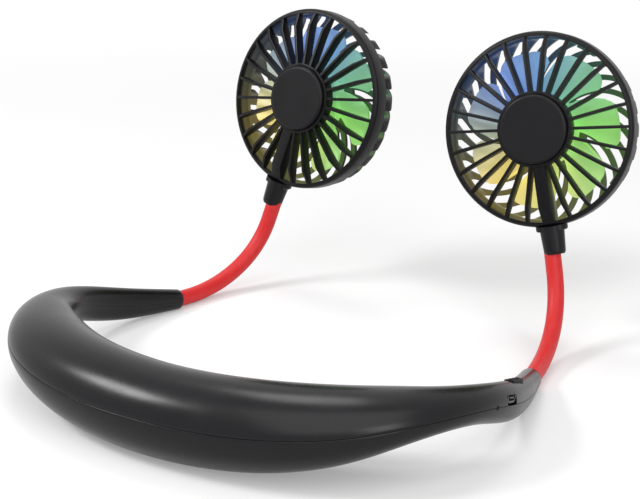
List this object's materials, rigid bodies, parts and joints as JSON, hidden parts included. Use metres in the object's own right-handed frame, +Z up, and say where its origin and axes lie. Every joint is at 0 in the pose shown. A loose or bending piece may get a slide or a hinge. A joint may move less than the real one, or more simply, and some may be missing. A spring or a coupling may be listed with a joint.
{
  "type": "electric neck fan",
  "caption": "Hands-free neck fan: a horseshoe band that rests on the shoulders, with bendable hoses that aim caged, lit fan heads at the face.",
  "frame": {"origin": "on the resting plane, under the middle of the back of the band", "axes": "+X towards the arm with the charging socket, +Y from the back of the neck to the arm tips, +Z up"},
  "size_m": [0.1994, 0.2158, 0.124],
  "materials": {
    "band": "satin",
    "head": "satin",
    "button": "satin",
    "hose": "satin",
    "blade": "translucent",
    "steel": "satin",
    "motor": "satin",
    "cell": "satin",
    "bush": "satin",
    "board": "satin",
    "light_board": "satin",
    "light": "gloss",
    "wire": "satin"
  },
  "bodies": {
    "band": {"upper_shell": "band", "lower_shell": "band", "band_screws": "steel", "battery_cells": "cell", "control_board": "board", "charging_socket": "steel", "button_switch": "button", "charge_light": "light", "band_wiring": "wire", "left_hose_ferrule": "steel", "left_hose_root": "hose", "right_hose_ferrule": "steel", "right_hose_root": "hose"},
    "speed_button": {"speed_button": "button"},
    "left_hose_link_1": {"left_hose_link_1": "hose"},
    "left_hose_link_2": {"left_hose_link_2": "hose"},
    "left_hose_link_3": {"left_hose_link_3": "hose"},
    "left_hose_link_4": {"left_hose_link_4": "hose"},
    "left_hose_link_5": {"left_hose_link_5": "hose"},
    "left_hose_link_6": {"left_hose_link_6": "hose"},
    "left_hose_link_7": {"left_hose_link_7": "hose"},
    "left_head": {"left_hose_end": "hose", "left_collar": "head", "left_front_grille": "head", "left_hub_cap": "head", "left_light_board": "light_board", "left_lights": "light", "left_motor": "motor", "left_motor_bush": "bush", "left_rear_grille": "head"},
    "left_impeller": {"left_motor_shaft": "steel", "left_impeller": "blade"},
    "right_hose_link_1": {"right_hose_link_1": "hose"},
    "right_hose_link_2": {"right_hose_link_2": "hose"},
    "right_hose_link_3": {"right_hose_link_3": "hose"},
    "right_hose_link_4": {"right_hose_link_4": "hose"},
    "right_hose_link_5": {"right_hose_link_5": "hose"},
    "right_hose_link_6": {"right_hose_link_6": "hose"},
    "right_hose_link_7": {"right_hose_link_7": "hose"},
    "right_head": {"right_hose_end": "hose", "right_collar": "head", "right_front_grille": "head", "right_hub_cap": "head", "right_light_board": "light_board", "right_lights": "light", "right_motor": "motor", "right_motor_bush": "bush", "right_rear_grille": "head"},
    "right_impeller": {"right_motor_shaft": "steel", "right_impeller": "blade"}
  },
  "joints": [
    {"name": "speed_button_press", "type": "slide", "parent": "band", "child": "speed_button", "axis": [0.0219, -0.2964, -0.9548], "range_m": [0, 0.0005], "stiffness_N_per_m": 400},
    {"name": "left_hose_link_1_bend", "type": "hinge", "parent": "band", "child": "left_hose_link_1", "pos_m": [-0.08242, 0.12397, 0.00385], "axis": [1, 0, 0], "range_deg": [-15, 15]},
    {"name": "left_hose_link_2_sway", "type": "hinge", "parent": "left_hose_link_1", "child": "left_hose_link_2", "pos_m": [-0.08108, 0.13206, 0.00414], "axis": [0, -0.1016, 0.9948], "range_deg": [-3, 12]},
    {"name": "left_hose_link_3_bend", "type": "hinge", "parent": "left_hose_link_2", "child": "left_hose_link_3", "pos_m": [-0.0798, 0.14006, 0.00549], "axis": [1, 0, 0], "range_deg": [-15, 15]},
    {"name": "left_hose_link_4_sway", "type": "hinge", "parent": "left_hose_link_3", "child": "left_hose_link_4", "pos_m": [-0.07846, 0.14778, 0.00796], "axis": [0, -0.3845, 0.9231], "range_deg": [-3, 12]},
    {"name": "left_hose_link_5_bend", "type": "hinge", "parent": "left_hose_link_4", "child": "left_hose_link_5", "pos_m": [-0.07696, 0.15493, 0.01168], "axis": [1, 0, 0], "range_deg": [-15, 15]},
    {"name": "left_hose_link_6_sway", "type": "hinge", "parent": "left_hose_link_5", "child": "left_hose_link_6", "pos_m": [-0.07523, 0.16108, 0.01683], "axis": [0, -0.7377, 0.6752], "range_deg": [-3, 12]},
    {"name": "left_hose_link_7_bend", "type": "hinge", "parent": "left_hose_link_6", "child": "left_hose_link_7", "pos_m": [-0.07324, 0.16561, 0.02335], "axis": [1, 0, 0], "range_deg": [-15, 15]},
    {"name": "left_head_sway", "type": "hinge", "parent": "left_hose_link_7", "child": "left_head", "pos_m": [-0.07106, 0.16812, 0.03084], "axis": [0, -0.9676, 0.2526], "range_deg": [-3, 12]},
    {"name": "left_impeller_spin", "type": "hinge", "parent": "left_head", "child": "left_impeller", "pos_m": [-0.0559, 0.1749, 0.0858], "axis": [-0.0937, -0.9729, 0.2113], "continuous": true},
    {"name": "right_hose_link_1_bend", "type": "hinge", "parent": "band", "child": "right_hose_link_1", "pos_m": [0.08242, 0.12397, 0.00385], "axis": [1, 0, 0], "range_deg": [-15, 15]},
    {"name": "right_hose_link_2_sway", "type": "hinge", "parent": "right_hose_link_1", "child": "right_hose_link_2", "pos_m": [0.08108, 0.13206, 0.00414], "axis": [0, 0.1016, -0.9948], "range_deg": [-3, 12]},
    {"name": "right_hose_link_3_bend", "type": "hinge", "parent": "right_hose_link_2", "child": "right_hose_link_3", "pos_m": [0.0798, 0.14006, 0.00549], "axis": [1, 0, 0], "range_deg": [-15, 15]},
    {"name": "right_hose_link_4_sway", "type": "hinge", "parent": "right_hose_link_3", "child": "right_hose_link_4", "pos_m": [0.07846, 0.14778, 0.00796], "axis": [0, 0.3845, -0.9231], "range_deg": [-3, 12]},
    {"name": "right_hose_link_5_bend", "type": "hinge", "parent": "right_hose_link_4", "child": "right_hose_link_5", "pos_m": [0.07696, 0.15493, 0.01168], "axis": [1, 0, 0], "range_deg": [-15, 15]},
    {"name": "right_hose_link_6_sway", "type": "hinge", "parent": "right_hose_link_5", "child": "right_hose_link_6", "pos_m": [0.07523, 0.16108, 0.01683], "axis": [0, 0.7377, -0.6752], "range_deg": [-3, 12]},
    {"name": "right_hose_link_7_bend", "type": "hinge", "parent": "right_hose_link_6", "child": "right_hose_link_7", "pos_m": [0.07324, 0.16561, 0.02335], "axis": [1, 0, 0], "range_deg": [-15, 15]},
    {"name": "right_head_sway", "type": "hinge", "parent": "right_hose_link_7", "child": "right_head", "pos_m": [0.07106, 0.16812, 0.03084], "axis": [0, 0.9676, -0.2526], "range_deg": [-3, 12]},
    {"name": "right_impeller_spin", "type": "hinge", "parent": "right_head", "child": "right_impeller", "pos_m": [0.0559, 0.1749, 0.0858], "axis": [0.0937, -0.9729, 0.2113], "continuous": true}
  ],
  "couplings": [
    {"joint": "left_hose_link_3_bend", "follows": "left_hose_link_1_bend", "ratio": 1},
    {"joint": "left_hose_link_4_sway", "follows": "left_hose_link_2_sway", "ratio": 1},
    {"joint": "left_hose_link_5_bend", "follows": "left_hose_link_1_bend", "ratio": 1},
    {"joint": "left_hose_link_6_sway", "follows": "left_hose_link_2_sway", "ratio": 1},
    {"joint": "left_hose_link_7_bend", "follows": "left_hose_link_1_bend", "ratio": 1},
    {"joint": "left_head_sway", "follows": "left_hose_link_2_sway", "ratio": 1},
    {"joint": "right_hose_link_3_bend", "follows": "right_hose_link_1_bend", "ratio": 1},
    {"joint": "right_hose_link_4_sway", "follows": "right_hose_link_2_sway", "ratio": 1},
    {"joint": "right_hose_link_5_bend", "follows": "right_hose_link_1_bend", "ratio": 1},
    {"joint": "right_hose_link_6_sway", "follows": "right_hose_link_2_sway", "ratio": 1},
    {"joint": "right_hose_link_7_bend", "follows": "right_hose_link_1_bend", "ratio": 1},
    {"joint": "right_head_sway", "follows": "right_hose_link_2_sway", "ratio": 1}
  ]
}
